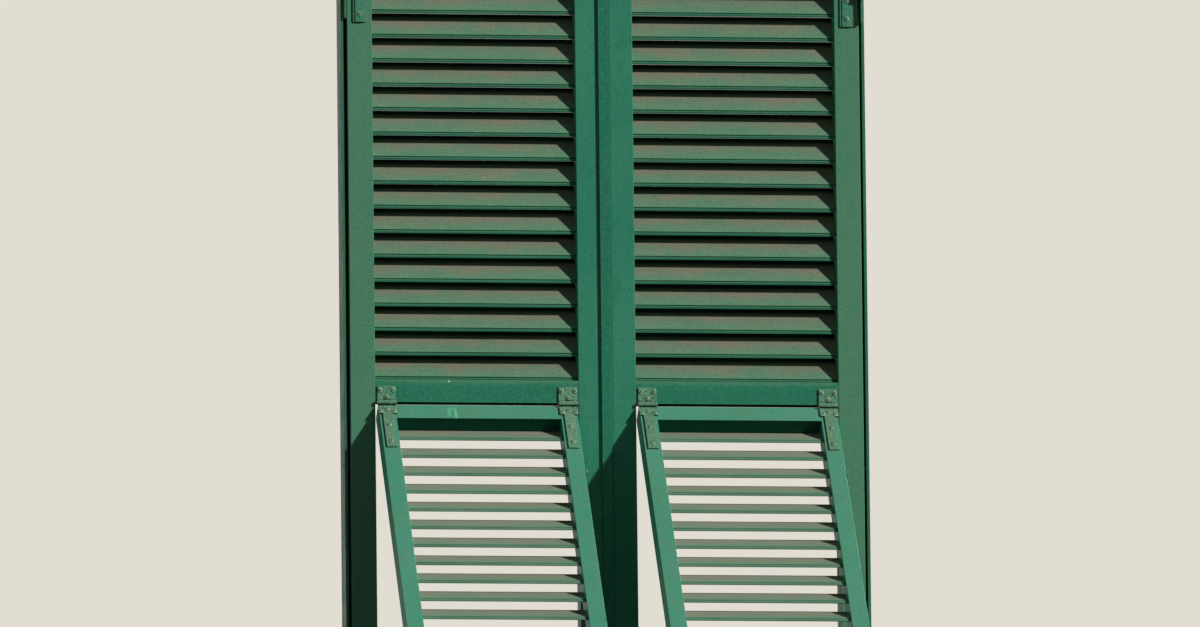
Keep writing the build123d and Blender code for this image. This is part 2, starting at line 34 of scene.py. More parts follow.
import bmesh
import bpy
import numpy as np
from mathutils import Matrix, Vector

# Louvred shutters with their lower flaps held out. Metres, seen from outside along +Y.
railFace = -0.0354                             # outer face of the middle rails
hingeAxis = Vector((0, -0.0406, 0.8275175))    # the flaps turn about this line
flapLean = radians(37.5)                       # how far the flaps are held out
# the directions inwards through a flap and up along it
flapIn = Vector((0, cos(flapLean), -sin(flapLean)))
flapUp = Vector((0, sin(flapLean), cos(flapLean)))
print("frame loaded:", len(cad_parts), "nodes")


# Camera, matched to the photograph's edges and slat lines
cameraSet = {
    "azimuth": radians(-8.85),     # the viewer stands to the left
    "elevation": radians(-7.0),    # and lower than the shutters
    "roll": -0.0108,
    "distance": 40.0,
    "lens": 591.2, "sensor": 36.0,
    "clip": (0.5, 500.0),
    "target": (-0.0133, -0.036, 1.0129),
}


def placeCamera():
    # the camera lies on a sphere about its target at the two angles, looks at it and rolls a little
    azimuth, elevation = cameraSet["azimuth"], cameraSet["elevation"]
    level = cos(elevation)
    back = Vector((sin(azimuth) * level, -cos(azimuth) * level, sin(elevation)))
    lens = bpy.data.cameras.new("photoCamera")
    lens.lens, lens.sensor_width = cameraSet["lens"], cameraSet["sensor"]
    lens.clip_start, lens.clip_end = cameraSet["clip"]
    camera = bpy.data.objects.new("photoCamera", lens)
    bpy.context.scene.collection.objects.link(camera)
    camera.rotation_mode = "QUATERNION"
    roll = Matrix.Rotation(cameraSet["roll"], 3, "Z")
    turned = (-back).to_track_quat("-Z", "Y").to_matrix() @ roll
    camera.rotation_quaternion = turned.to_quaternion()
    camera.location = Vector(cameraSet["target"]) + back * cameraSet["distance"]
    bpy.context.scene.camera = camera


placeCamera()
print("camera placed")


# Shader building, short forms
def addNode(tree, kind, inputs=(), **settings):
    # a node with its settings, and its inputs by name or number: a socket is linked, a value is set
    node = tree.nodes.new("ShaderNode" + kind)
    for key, value in settings.items():
        setattr(node, key, value)
    for key, value in dict(inputs).items():
        socket = node.inputs[key]
        if isinstance(value, bpy.types.NodeSocket):
            tree.links.new(value, socket)
        else:
            socket.default_value = value
    return node


def blendColours(tree, factor, first, second):
    # the first colour where the factor is 0, the second where it is 1; 6 and 7 take colours
    return addNode(tree, "Mix", {0: factor, 6: first, 7: second}, data_type="RGBA").outputs[2]


def spread(tree, value, low, high, toLow=0.0, toHigh=1.0):
    # a value taken smoothly from one range to another, and held at its ends
    ranges = {"Value": value, "From Min": low, "From Max": high, "To Min": toLow, "To Max": toHigh}
    return addNode(tree, "MapRange", ranges, interpolation_type="SMOOTHSTEP").outputs["Result"]


def sums(tree, operation, first, second=0.0):
    # one step of arithmetic on two values
    return addNode(tree, "Math", {0: first, 1: second}, operation=operation).outputs[0]


def product(tree, first, *others):
    # values multiplied one after another
    for other in others:
        first = sums(tree, "MULTIPLY", first, other)
    return first


def vectorStep(tree, operation, first, second):
    # one step of arithmetic on two vectors
    return addNode(tree, "VectorMath", {0: first, 1: second}, operation=operation).outputs[0]


def splitUp(tree, vector):
    # a vector's three parts, by name
    return addNode(tree, "SeparateXYZ", {0: vector}).outputs


def noise(tree, place, scale, detail, rough, stretch=None, shift=(0, 0, 0)):
    # noise in the object's own metres, with a stretch along its axes
    if stretch:
        moves = {"Vector": place, "Scale": stretch, "Location": shift}
        place = addNode(tree, "Mapping", moves).outputs[0]
    settings = {"Vector": place, "Scale": scale, "Detail": detail, "Roughness": rough}
    return addNode(tree, "TexNoise", settings).outputs["Fac"]


def findEdges(tree, radius, samples):
    # the normal rounded over edges, and its turn there: 1 less the product with the flat normal
    rounded = addNode(tree, "Bevel", {"Radius": radius}, samples=samples).outputs[0]
    flat = addNode(tree, "NewGeometry").outputs["Normal"]
    same = addNode(tree, "VectorMath", {0: rounded, 1: flat}, operation="DOT_PRODUCT")
    return rounded, sums(tree, "SUBTRACT", 1.0, same.outputs["Value"])


def addBump(tree, shader, height, strength, distance, normal=None):
    # fine relief from a height, on the given normal or on the mesh's own
    inputs = {"Strength": strength, "Distance": distance, "Height": height}
    if normal is not None:
        inputs["Normal"] = normal
    tree.links.new(addNode(tree, "Bump", inputs).outputs[0], shader.inputs["Normal"])


def srgb(red, green, blue):
    # a colour given as it is read from a picture, 0 to 255, as linear light
    shade = np.array([red, green, blue]) / 255.0
    linear = np.where(shade <= 0.04045, shade / 12.92, ((shade + 0.055) / 1.055) ** 2.4)
    return (*[float(v) for v in linear], 1.0)


def startMaterial(name):
    # a new material with its tree and its shader
    material = bpy.data.materials.new(name)
    material.use_nodes = True
    tree = material.node_tree
    return material, tree, tree.nodes["Principled BSDF"]


# Powder-coated paint: faded patches, rain streaks, fine speckle, dust on ledges, edges lightened by
# wear and a painted highlight, painted shade in corners and on undersides
leafPaint = {
    "base": srgb(36, 121, 95), "faded": srgb(56, 133, 107), "deep": srgb(18, 100, 76),
    # the edge colour lightens edges: worn paint, and a painted highlight on the rounded arrises
    "dust": srgb(112, 126, 102), "edge": srgb(98, 150, 125), "outer": srgb(90, 130, 102),
    # a painted shade colour, laid on undersides and in corners
    "paintedShade": srgb(20, 40, 30),
    "dustAmount": 0.55, "streakAmount": 0.22, "outerAmount": 0.8, "barAmount": 0.75,
    # the corner weight lays painted shade in corners, standing also for grime
    "edgeWearAndHighlight": 0.7, "grain": 0.6, "blotch": 0.0, "cornerShade": 0.0, "roughness": 0.46, "seed": 0.0,
    # spots and dabs: middle, half sizes in metres, colour
    "marks": [((-0.3243, -0.0354, 0.8722), (0.0022, 0.004, 0.0018), srgb(196, 214, 196))],
}
# Each noise: scale per metre, detail, roughness
paintNoise = {
    "patches": (2.3, 4.0, 0.6), "cloud": (24.0, 4.0, 0.62), "streaks": (1.0, 3.0, 0.5),
    "speckle": (1500.0, 2.0, 0.7), "grain": (330.0, 2.0, 0.7), "blotch": (230.0, 3.0, 0.7),
    "peel": (620.0, 2.0, 0.5), "streakStretch": (120, 60, 3.2),
}
# Where each effect starts and ends, on a noise or a direction, and its strength at both ends
paintRanges = {
    "patches": (0.35, 0.68), "cloud": (0.52, 0.72, 0.0, 0.5), "streaks": (0.52, 0.78),
    "speckle": (0.3, 0.7, 0.0, 0.16), "outerCloud": (0.2, 0.7, 0.7, 1.0),
    "darkGrain": (0.36, 0.5), "paleGrain": (0.5, 0.66),
    "darkBlotch": (0.36, 0.46), "paleBlotch": (0.54, 0.66),
    "markRim": (0.2, 0.8, -0.25, 0.25), "mark": (0.75, 1.15, 0.92, 0.0),
    "ledge": (0.3, 0.9), "ledgeCloud": (0.25, 0.6, 0.35, 1.0),
    "edge": (0.02, 0.2), "edgeCloud": (0.3, 0.6, 0.25, 1.0),
    "cornerGrain": (0.3, 0.7, -0.12, 0.12), "corner": (0.5, 0.92),
    "underside": (-0.95, -0.5, 0.85, 0.0), "shine": (-0.8, -0.2, 0.0, 0.16),
    "roughCloud": (0.3, 0.7),
}
# Zones of a leaf in metres, out from the meeting line or up from the bottom
leafZones = {
    "barEdge": (0.0125, 0.0135), "railStart": (0.058, 0.0605), "railEnd": (0.471, 0.477),
    "outerStile": (0.47, 0.482), "railMiddle": 0.846, "railFade": (0.01, 0.03),
    "shelfBottom": (0.866, 0.872), "shelfTop": (0.877, 0.878),
    "railAmount": 0.8, "shelfAmount": 0.7,
}
paintSurface = {
    "edgeRadius": 0.0011, "edgeSamples": 4, "cornerReach": 0.005, "cornerSamples": 8,
    "smoother": 0.07, "rougher": 0.08, "dustRoughness": 0.3,
    "bump": 0.16, "bumpDepth": 0.0004, "shine": 0.14,
}


def paintMaterial(name, look):
    # coated metal: the colour fades in patches and on the outer stiles, with rain streaks, grain,
    # dust and marks; each layer goes over the last one by its own factor
    ranges, zones, surface = paintRanges, leafZones, paintSurface
    material, tree, shader = startMaterial(name)
    coords = addNode(tree, "TexCoord")
    place, seed = coords.outputs["Object"], look["seed"]
    patches = noise(tree, place, *paintNoise["patches"], stretch=(1, 1, 1), shift=(seed,) * 3)
    cloud = noise(tree, place, *paintNoise["cloud"])
    streaks = noise(tree, place, *paintNoise["streaks"], stretch=paintNoise["streakStretch"],
                    shift=(seed, 0, 0))
    speckle = noise(tree, place, *paintNoise["speckle"])
    grain = noise(tree, place, *paintNoise["grain"])
    sideways = sums(tree, "ABSOLUTE", splitUp(tree, place)["X"])
    level = splitUp(tree, place)["Z"]

    def cover(factor, over):
        # the colour so far with another over it
        return blendColours(tree, factor, colour, over)

    colour = blendColours(tree, spread(tree, patches, *ranges["patches"]), look["base"],
                          look["faded"])
    colour = cover(spread(tree, cloud, *ranges["cloud"]), look["deep"])
    colour = cover(spread(tree, streaks, *ranges["streaks"], 0.0, look["streakAmount"]),
                   look["dust"])
    colour = cover(spread(tree, speckle, *ranges["speckle"]), look["deep"])
    faded = product(tree, spread(tree, sideways, *zones["outerStile"]),
                    spread(tree, cloud, *ranges["outerCloud"]), look["outerAmount"])
    colour = cover(faded, look["outer"])
    # the cover bar and the middle rail have kept more of their colour
    bar = product(tree, spread(tree, sideways, *zones["barEdge"], 1.0, 0.0), look["barAmount"])
    colour = cover(bar, look["deep"])
    offMiddle = sums(tree, "ABSOLUTE", sums(tree, "SUBTRACT", level, zones["railMiddle"]))
    rail = product(tree, spread(tree, offMiddle, *zones["railFade"], zones["railAmount"], 0.0),
                   spread(tree, sideways, *zones["railEnd"], 1.0, 0.0),
                   spread(tree, sideways, *zones["railStart"], 0.0, look["barAmount"]))
    colour = cover(rail, look["deep"])
    # dust has faded the rail's upper edge
    shelf = product(tree, spread(tree, level, *zones["shelfBottom"]),
                    spread(tree, level, *zones["shelfTop"], 1.0, 0.0),
                    spread(tree, sideways, *zones["railEnd"], look["barAmount"], 0.0),
                    spread(tree, sideways, *zones["railStart"], 0.0, zones["shelfAmount"]))
    colour = cover(shelf, look["outer"])
    colour = cover(spread(tree, grain, *ranges["darkGrain"], look["grain"], 0.0), look["deep"])
    colour = cover(spread(tree, grain, *ranges["paleGrain"], 0.0, look["grain"]), look["faded"])
    if look["blotch"]:
        blotch = noise(tree, place, *paintNoise["blotch"], stretch=(1, 1, 1),
                       shift=(seed, seed, 0))
        colour = cover(spread(tree, blotch, *ranges["darkBlotch"], look["blotch"], 0.0),
                       look["deep"])
        colour = cover(spread(tree, blotch, *ranges["paleBlotch"], 0.0, look["blotch"]),
                       look["edge"])
    # a mark fills an ellipsoid whose rim is broken up by the speckle
    for middle, halfSize, markColour in look["marks"]:
        shape = vectorStep(tree, "ADD", place, tuple(-v for v in middle))
        shape = vectorStep(tree, "MULTIPLY", shape, tuple(1 / v for v in halfSize))
        far = addNode(tree, "VectorMath", {0: shape}, operation="LENGTH").outputs["Value"]
        far = sums(tree, "ADD", far, spread(tree, speckle, *ranges["markRim"]))
        colour = cover(spread(tree, far, *ranges["mark"]), markColour)
    upward = splitUp(tree, coords.outputs["Normal"])["Z"]
    ledge = product(tree, spread(tree, upward, *ranges["ledge"]),
                    spread(tree, cloud, *ranges["ledgeCloud"]))
    colour = cover(product(tree, ledge, look["dustAmount"]), look["dust"])
    # edges lighter: worn paint, and a painted highlight on the rounded arrises
    rounded, turn = findEdges(tree, surface["edgeRadius"], surface["edgeSamples"])
    edge = product(tree, spread(tree, turn, *ranges["edge"], 0.0, look["edgeWearAndHighlight"]),
                   spread(tree, cloud, *ranges["edgeCloud"]))
    colour = cover(edge, look["edge"])
    # painted shade: darker in corners and crevices, found by ambient occlusion, standing also for
    # grime there
    if look["cornerShade"]:
        corner = addNode(tree, "AmbientOcclusion", {"Distance": surface["cornerReach"]},
                         samples=surface["cornerSamples"]).outputs["AO"]
        corner = sums(tree, "ADD", corner, spread(tree, grain, *ranges["cornerGrain"]))
        colour = cover(spread(tree, corner, *ranges["corner"], look["cornerShade"], 0.0), look["paintedShade"])
    # painted shade on undersides, which face away from the light
    colour = cover(spread(tree, upward, *ranges["underside"]), look["paintedShade"])
    tree.links.new(colour, shader.inputs["Base Color"])
    rough = spread(tree, cloud, *ranges["roughCloud"], look["roughness"] - surface["smoother"],
                   look["roughness"] + surface["rougher"])
    rough = sums(tree, "ADD", rough, product(tree, ledge, surface["dustRoughness"]))
    tree.links.new(rough, shader.inputs["Roughness"])
    addBump(tree, shader, noise(tree, place, *paintNoise["peel"]), surface["bump"],
            surface["bumpDepth"], rounded)
    # undersides don't shine; the plain value stands where the link is not read
    shader.inputs["Specular IOR Level"].default_value = surface["shine"]
    tree.links.new(spread(tree, upward, *ranges["shine"]), shader.inputs["Specular IOR Level"])
    return material


# Slats: clean paint on the nose, dust that thickens towards the back of the slope, and painted
# shade behind that, under the slat above
slatPaint = {
    "base": srgb(30, 94, 68), "faded": srgb(44, 106, 80), "deep": srgb(20, 74, 54),
    # the edge colour lightens the slats' edges: worn paint, and a painted highlight
    "dustNear": srgb(108, 146, 119), "dustFar": srgb(140, 122, 108), "edge": srgb(98, 140, 116),
    # the dark colour from darkFrom on is painted shade on the back of the slope, under the slat
    # above
    "paintedShade": srgb(8, 22, 16), "darkFrom": 0.0195, "roughness": 0.62, "seed": 3.7,
    "tilt": 0.0, "noseDepth": -0.027,    # the slats' lean, and where their noses start
}
slatNoise = {
    "patches": (5.0, 4.0, 0.6), "cloud": (30.0, 5.0, 0.65), "brushed": (1.0, 3.0, 0.6),
    "speckle": (1300.0, 2.0, 0.7), "freckles": (420.0, 2.0, 0.6), "bump": (700.0, 3.0, 0.55),
    "cloudStretch": (0.45, 1, 1), "brushedStretch": (14, 260, 260),
}
slatRanges = {
    "patches": (0.35, 0.66), "cloud": (0.5, 0.75, 0.0, 0.45), "slope": (0.12, 0.4),
    "waver": (0.2, 0.8, -0.006, 0.006), "brushed": (0.35, 0.7, 0.0, 0.12),
    "freckles": (0.4, 0.6, 0.0, 0.5), "thickness": (0.2, 0.65, 0.72, 0.97),
    "speckle": (0.35, 0.75, 0.0, 0.22), "edge": (0.02, 0.22, 0.0, 0.5),
    "edgeCloud": (0.3, 0.6, 0.3, 1.0), "shine": (-0.8, -0.2, 0.0, 0.12),
}
slatSurface = {
    "dustWidth": 0.021, "darkWidth": 0.006, "darkAmount": 0.92,
    "edgeRadius": 0.0009, "edgeSamples": 4, "smoother": 0.12, "dustRoughness": 0.3,
    "bump": 0.22, "bumpDepth": 0.0004, "shine": 0.1,
}


def slatMaterial(name, look):
    # the slats' paint and dust in the leaf's frame, or in the flap's when the look has its lean:
    # the hinge axis moves to the origin there and the lean is turned back
    ranges, surface = slatRanges, slatSurface
    material, tree, shader = startMaterial(name)
    coords = addNode(tree, "TexCoord")
    axis = hingeAxis if look["tilt"] else Vector((0, 0, 0))
    moved = vectorStep(tree, "ADD", coords.outputs["Object"], tuple(-axis))
    place, normal = [
        addNode(tree, "Mapping", {"Vector": vector, "Rotation": (look["tilt"], 0, 0)},
                vector_type="POINT").outputs[0]
        for vector in (moved, coords.outputs["Normal"])]
    depth, upward = splitUp(tree, place)["Y"], splitUp(tree, normal)["Z"]
    patches = noise(tree, place, *slatNoise["patches"], stretch=(1, 1, 1),
                    shift=(look["seed"], 0, 0))
    cloud = noise(tree, place, *slatNoise["cloud"], stretch=slatNoise["cloudStretch"])
    brushed = noise(tree, place, *slatNoise["brushed"], stretch=slatNoise["brushedStretch"])
    speckle = noise(tree, place, *slatNoise["speckle"])
    freckles = noise(tree, place, *slatNoise["freckles"])
    colour = blendColours(tree, spread(tree, patches, *ranges["patches"]), look["base"],
                          look["faded"])
    colour = blendColours(tree, spread(tree, cloud, *ranges["cloud"]), colour, look["deep"])
    # dust goes from its near to its far colour along the slope, on a wavering line
    wavering = sums(tree, "ADD", depth, spread(tree, cloud, *ranges["waver"]))
    along = spread(tree, wavering, look["noseDepth"], look["noseDepth"] + surface["dustWidth"])
    dust = blendColours(tree, along, look["dustNear"], look["dustFar"])
    dust = blendColours(tree, spread(tree, brushed, *ranges["brushed"]), dust, look["deep"])
    dust = blendColours(tree, spread(tree, freckles, *ranges["freckles"]), dust, look["faded"])
    # painted shade on the back of the slope, where the slat above shades it
    darkStart = look["noseDepth"] + look["darkFrom"]
    behind = spread(tree, depth, darkStart, darkStart + surface["darkWidth"])
    dust = blendColours(tree, product(tree, behind, surface["darkAmount"]), dust, look["paintedShade"])
    amount = product(tree, spread(tree, upward, *ranges["slope"]),
                     spread(tree, cloud, *ranges["thickness"]))
    colour = blendColours(tree, amount, colour, dust)
    colour = blendColours(tree, spread(tree, speckle, *ranges["speckle"]), colour, look["deep"])
    # edges lighter: worn paint, and a painted highlight on the noses and arrises
    rounded, turn = findEdges(tree, surface["edgeRadius"], surface["edgeSamples"])
    edge = product(tree, spread(tree, turn, *ranges["edge"]),
                   spread(tree, cloud, *ranges["edgeCloud"]))
    colour = blendColours(tree, edge, colour, look["edge"])
    tree.links.new(colour, shader.inputs["Base Color"])
    rough = sums(tree, "ADD", product(tree, amount, surface["dustRoughness"]),
                 look["roughness"] - surface["smoother"])
    tree.links.new(rough, shader.inputs["Roughness"])
    addBump(tree, shader, noise(tree, place, *slatNoise["bump"]), surface["bump"],
            surface["bumpDepth"], rounded)
    # neither undersides nor the painted shade at the back shine; the plain value stands where the
    # link is not read
    shine = product(tree, spread(tree, upward, *ranges["shine"]),
                    sums(tree, "SUBTRACT", 1.0, behind))
    shader.inputs["Specular IOR Level"].default_value = surface["shine"]
    tree.links.new(shine, shader.inputs["Specular IOR Level"])
    return material


# Bare or plated metal
steelLook = {
    "base": srgb(150, 152, 148), "dull": srgb(104, 106, 100), "rust": srgb(104, 74, 52),
    "cloud": (90.0, 4.0, 0.6), "spots": (260.0, 3.0, 0.7),
    "dullRange": (0.35, 0.65), "rustRange": (0.6, 0.72, 0.0, 0.8), "roughRange": (0.3, 0.7),
    "smoothest": 0.32, "roughest": 0.58, "bump": 0.2, "bumpDepth": 0.0003, "metallic": 0.85,
}


def steelMaterial(name, look):
    # metal that is dull in clouds and rusty in small spots, and rougher where it is dull
    material, tree, shader = startMaterial(name)
    place = addNode(tree, "TexCoord").outputs["Object"]
    cloud = noise(tree, place, *look["cloud"])
    spots = noise(tree, place, *look["spots"])
    colour = blendColours(tree, spread(tree, cloud, *look["dullRange"]), look["base"],
                          look["dull"])
    colour = blendColours(tree, spread(tree, spots, *look["rustRange"]), colour, look["rust"])
    tree.links.new(colour, shader.inputs["Base Color"])
    rough = spread(tree, cloud, *look["roughRange"], look["smoothest"], look["roughest"])
    tree.links.new(rough, shader.inputs["Roughness"])
    addBump(tree, shader, spots, look["bump"], look["bumpDepth"])
    shader.inputs["Metallic"].default_value = look["metallic"]
    return material


# Dark rubber and plastic
darkLook = {
    "base": srgb(26, 34, 30), "grey": srgb(58, 64, 58),
    "cloud": (40.0, 4.0, 0.65), "grain": (900.0, 2.0, 0.6),
    "greyRange": (0.4, 0.7, 0.0, 0.7), "roughRange": (0.3, 0.7),
    "smoothest": 0.6, "roughest": 0.85, "bump": 0.25, "bumpDepth": 0.0003,
}


def darkMaterial(name, look):
    # rubber or plastic that has turned grey in clouds, with a fine grain
    material, tree, shader = startMaterial(name)
    place = addNode(tree, "TexCoord").outputs["Object"]
    cloud = noise(tree, place, *look["cloud"])
    colour = blendColours(tree, spread(tree, cloud, *look["greyRange"]), look["base"],
                          look["grey"])
    tree.links.new(colour, shader.inputs["Base Color"])
    rough = spread(tree, cloud, *look["roughRange"], look["smoothest"], look["roughest"])
    tree.links.new(rough, shader.inputs["Roughness"])
    addBump(tree, shader, noise(tree, place, *look["grain"]), look["bump"], look["bumpDepth"])
    return material


# The other paints, each from one above with what differs
# hinge paints: the pale edge colour is worn paint and a painted highlight, and the corner weight
# lays painted shade in corners
hingePaint = dict(
    leafPaint, base=srgb(66, 130, 102), faded=srgb(100, 150, 120), deep=srgb(44, 86, 64),
    edge=srgb(168, 186, 158), dustAmount=0.5, outerAmount=0.25, barAmount=0.0,
    edgeWearAndHighlight=0.95, blotch=0.38, cornerShade=0.98, roughness=0.5, seed=8.2, marks=[])
# the straps get the same painted shade in their corners
strapPaint = dict(
    hingePaint, base=srgb(44, 124, 98), faded=srgb(66, 138, 112), deep=srgb(28, 92, 70),
    blotch=0.18, cornerShade=0.9, seed=3.3)
# the screw heads are paler: worn paint, and a painted highlight on the domes
screwPaint = dict(
    hingePaint, base=srgb(104, 152, 124), faded=srgb(142, 176, 152), deep=srgb(58, 98, 76),
    edgeWearAndHighlight=1.0, seed=12.6)
framePaint = dict(
    leafPaint, base=srgb(36, 102, 80), faded=srgb(50, 114, 90), deep=srgb(25, 80, 62),
    outerAmount=0.0, barAmount=0.0, seed=5.1, marks=[])
# the flaps' paint is lighter than the leaves': settled dust, and painted light for the flaps
# leaning up towards the light
litFlapPaint = dict(
    leafPaint, base=srgb(42, 141, 115), faded=srgb(68, 151, 126), deep=srgb(32, 121, 97),
    outerAmount=0.0, barAmount=0.0, seed=2.4,
    marks=[((-0.3265, -0.0525, 0.808), (0.0042, 0.03, 0.011), srgb(74, 178, 144)),
           ((-0.3135, -0.0535, 0.803), (0.0030, 0.03, 0.014), srgb(86, 192, 156)),
           ((-0.3195, -0.0535, 0.815), (0.0100, 0.03, 0.0022), srgb(74, 170, 136))])
flapSlatPaint = dict(
    slatPaint, base=srgb(80, 120, 96), faded=srgb(92, 130, 108), deep=srgb(60, 102, 80),
    dustNear=srgb(120, 150, 124), dustFar=srgb(150, 140, 124), darkFrom=0.05, seed=6.1,
    tilt=flapLean, noseDepth=0.0112)
capLook = dict(darkLook, base=srgb(34, 48, 42), grey=srgb(66, 78, 70))

finishes = {
    "leaf": paintMaterial("greenPaint", leafPaint),
    "flap": paintMaterial("litFlapPaint", litFlapPaint),
    "frame": paintMaterial("framePaint", framePaint),
    "hinge": paintMaterial("wornHingePaint", hingePaint),
    "slats": slatMaterial("dustySlats", slatPaint),
    "flapSlats": slatMaterial("dustyFlapSlats", flapSlatPaint),
    "strap": paintMaterial("strapPaint", strapPaint),
    "screw": paintMaterial("screwPaint", screwPaint),
    "steel": steelMaterial("dullZinc", steelLook),
    "rubber": darkMaterial("agedRubber", darkLook),
    "plastic": darkMaterial("capPlastic", capLook),
}
# the endings of node names and their finishes; the first that fits counts
finishOfEnding = {
    "flap_slats": "flapSlats", "slats": "slats", "gasket": "rubber", "stile_caps": "plastic",
    "hinge_pins": "steel", "stay_stud": "steel", "stay_arm": "flap",
    "pintles": "strap", "strap_hinges": "strap", "hinge_plates": "hinge",
    "flap_straps": "hinge", "lock_rod": "hinge", "lock_hooks": "hinge",
    "lock_handle": "hinge", "lock_guides": "hinge", "lock_keeps": "hinge",
    "handle_rest": "hinge",
}


def finishOf(node):
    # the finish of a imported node, from its name's ending or else from the panel that it is in
    for ending, finish in finishOfEnding.items():
        if node.endswith(ending):
            return finish
    return "frame" if node.startswith("frame") else "flap" if "_flap_" in node else "leaf"


for nodeName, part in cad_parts.items():
    part.data.materials.clear()
    part.data.materials.append(finishes[finishOf(nodeName)])
print("finishes made:", len(finishes))


def meshPiece(name, body, places, quads, finish):
    # whole arrays go into the mesh; points that coincide are merged, so that poles close
    mesh = bpy.data.meshes.new(name)
    mesh.from_pydata(places.tolist(), [], quads.tolist())
    work = bmesh.new()
    work.from_mesh(mesh)
    bmesh.ops.remove_doubles(work, verts=work.verts, dist=1e-7)
    bmesh.ops.recalc_face_normals(work, faces=work.faces)
    work.to_mesh(mesh)
    work.free()
    mesh.polygons.foreach_set("use_smooth", np.full(len(mesh.polygons), True))
    mesh.materials.append(finishes[finish])
    piece = bpy.data.objects.new(name, mesh)
    bpy.context.scene.collection.objects.link(piece)
    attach(piece, body)


# Screws: a domed head with a cross recess, in shares of its radius; the sink is in metres
screwSet = {
    "steps": 40, "shares": (0.0, 0.1, 0.18, 0.26, 0.34, 0.42, 0.48, 0.53, 0.66, 0.8, 0.92, 1.0),
    "dome": 0.46, "fall": 0.8, "sink": 0.0003,
    "recessWidth": 0.14, "recessReach": 0.5, "recessDepth": 0.5, "recessSlope": 0.06,
}


def screwHead(radius):
    # rings around the axis: the height falls from the middle with the square of the distance, and
    # where a point lies close to either of two crossed lines, and near the middle, it is sunk by
    # the recess; a rim goes down into the plate and a flat underside closes it
    share = np.array(screwSet["shares"])[:, None]
    angle = np.linspace(0, 2 * pi, screwSet["steps"], endpoint=False)[None, :]
    across, along = share * np.cos(angle), share * np.sin(angle)
    nearLine = np.minimum(np.abs(across), np.abs(along))
    slope = screwSet["recessSlope"]
    inCross = np.clip((screwSet["recessWidth"] - nearLine) / slope, 0, 1)
    inReach = np.clip((screwSet["recessReach"] - share) / slope, 0, 1)
    sunk = screwSet["recessDepth"] * inCross * inReach
    height = screwSet["dome"] * (1 - screwSet["fall"] * share ** 2 - sunk)
    grid = np.stack([across * radius, along * radius, height * radius], axis=-1)
    rim = grid[-1] * (1, 1, 0) - (0, 0, screwSet["sink"])
    return np.concatenate([grid, rim[None], rim[None] * (0, 0, 1)])


def makeScrews(name, body, spots, slot, finish, radius, seed):
    # every head is the same grid, turned about its axis, faced along its spot's direction and
    # moved there
    turns = np.random.default_rng(seed).uniform(0, pi, len(spots))
    head = screwHead(radius)
    rings, steps = head.shape[:2]
    ring, step = np.meshgrid(np.arange(rings - 1), np.arange(steps), indexing="ij")
    after = (step + 1) % steps
    quads = np.stack([ring * steps + step, (ring + 1) * steps + step, (ring + 1) * steps + after,
                      ring * steps + after], axis=-1).reshape(-1, 4)
    places, faces = [], []
    for index, (place, facing) in enumerate(spots):
        facing = Vector(facing)
        turned = Matrix.Rotation(turns[index], 3, facing)
        side = turned @ facing.orthogonal().normalized()
        basis = np.array([side, facing.cross(side), facing])
        places.append(head.reshape(-1, 3) @ basis + np.array(place))
        faces.append(quads + index * rings * steps)
    meshPiece(name, body, np.vstack(places), np.vstack(faces), finish)


# Where the fixings sit, in metres: faces and middles of the plates, and spots in a plate's plane
fixingSet = {
    "hingeMiddles": (0.453, 0.0815),
    "plateFace": 0.003,      # the hinge plates' face before the middle rail
    "plateSpots": ((-0.0135, 0.0258), (0.0135, 0.0258), (0.0, 0.0118)),
    "strapFace": 0.0022,     # the straps' face behind the hinge axis, in the flap's frame
    "strapSpots": ((0.0, -0.0165), (-0.0135, -0.0225), (0.0135, -0.0225), (0.0, -0.061),
                   (0.0, -0.106)),
    "pivotHeights": (0.150, 1.694), "stripFace": -0.0406, "stripMiddle": 0.501,
    "stripSpots": (-0.073, -0.036, 0.036, 0.073),
    "edgeFace": 0.5265,
    "edgeSpots": ((-0.022, 0.040), (-0.005, 0.040), (-0.0135, 0.852), (-0.0135, 1.806)),
    "bracketFace": 0.5295, "bracketSpots": ((-0.026, -0.072), (-0.010, -0.052), (-0.026, -0.033)),
    "jambFace": 0.5325, "jambDepth": -0.009, "jambHeights": (0.262, 0.702, 1.142, 1.582),
    "guideFace": 0.0115, "guideMiddle": 0.0335, "guideSpread": 0.0135,
    "guideHeights": (0.157, 0.667, 1.177, 1.687),
    "keepHeights": (0.0345, 1.8095), "keepSpread": 0.0125, "keepDepth": 0.021,
    "restHeight": 0.877, "restSpread": 0.0065,
    "radius": 0.0052, "smallRadius": 0.0036, "jambRadius": 0.0068,
}
# the seed of each kind's turns; the right side's is one more
screwSeeds = {"plate": 0, "strap": 10, "bracket": 20, "jamb": 30, "guide": 40, "keep": 41,
              "rest": 42, "edge": 50}


